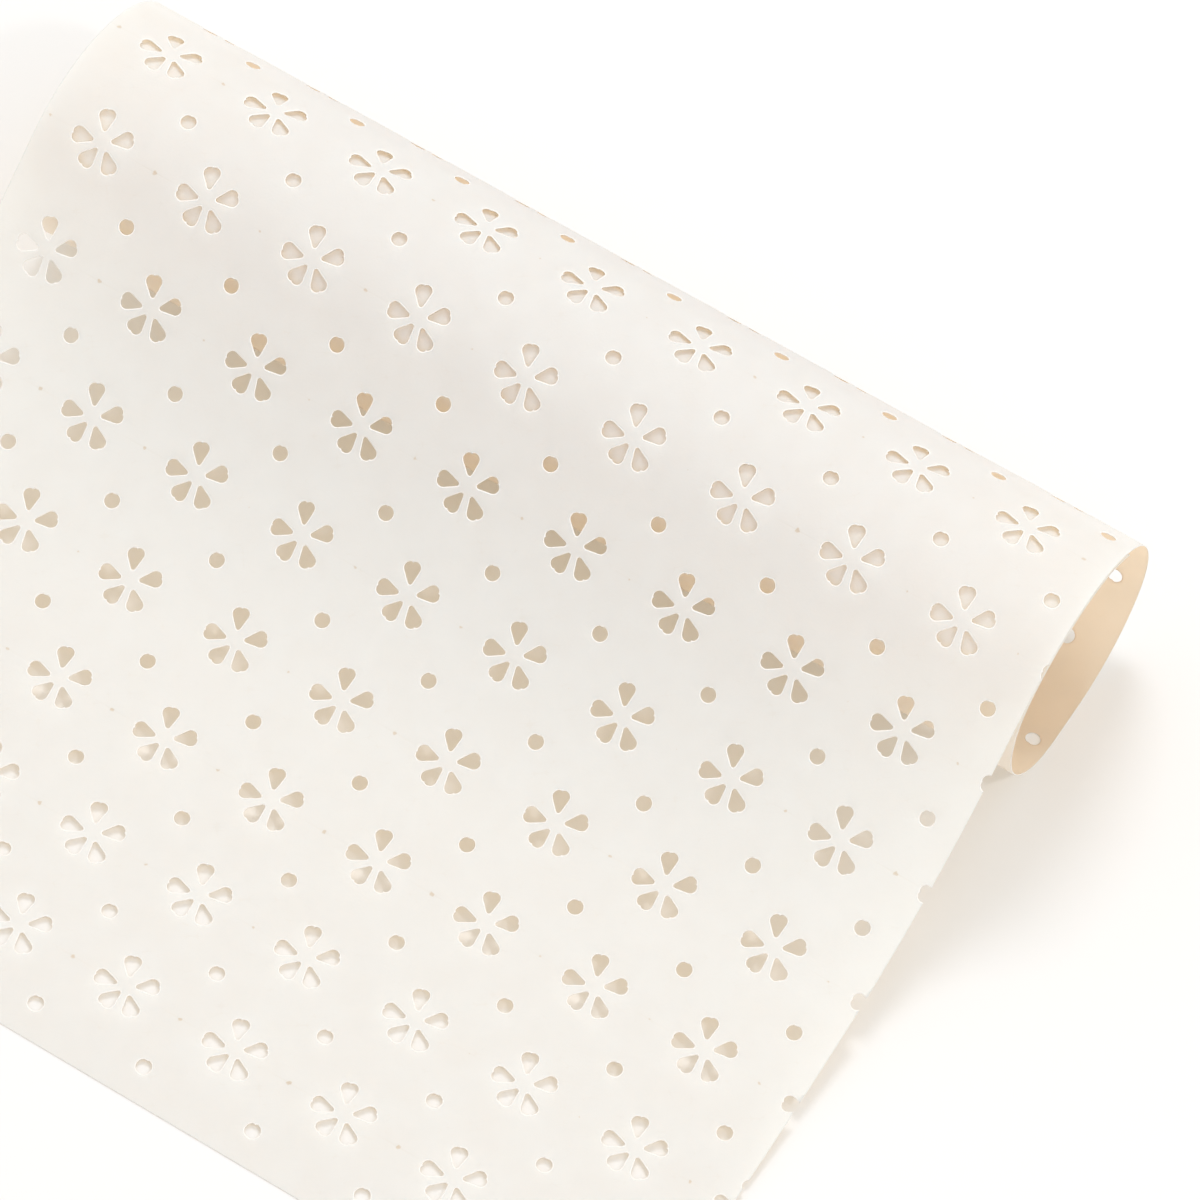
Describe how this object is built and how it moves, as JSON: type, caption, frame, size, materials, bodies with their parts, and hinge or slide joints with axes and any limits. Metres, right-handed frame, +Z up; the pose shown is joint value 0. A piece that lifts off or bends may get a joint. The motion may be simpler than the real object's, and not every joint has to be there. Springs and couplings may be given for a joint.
{
  "type": "perforated paper sheet",
  "caption": "Sheet of heavy off-white handmade paper, punched all over with flowers and dots, lying loosely rolled with its free end flat.",
  "frame": {"origin": "middle of the footprint, on the table", "axes": "+X along the roll, +Y from the free end to the roll, +Z up"},
  "size_m": [0.469, 0.4064, 0.1078],
  "materials": {
    "handmade_paper": "matte, slightly fibrous"
  },
  "bodies": {
    "root": {"paper_sheet": "handmade_paper"}
  },
  "joints": []
}
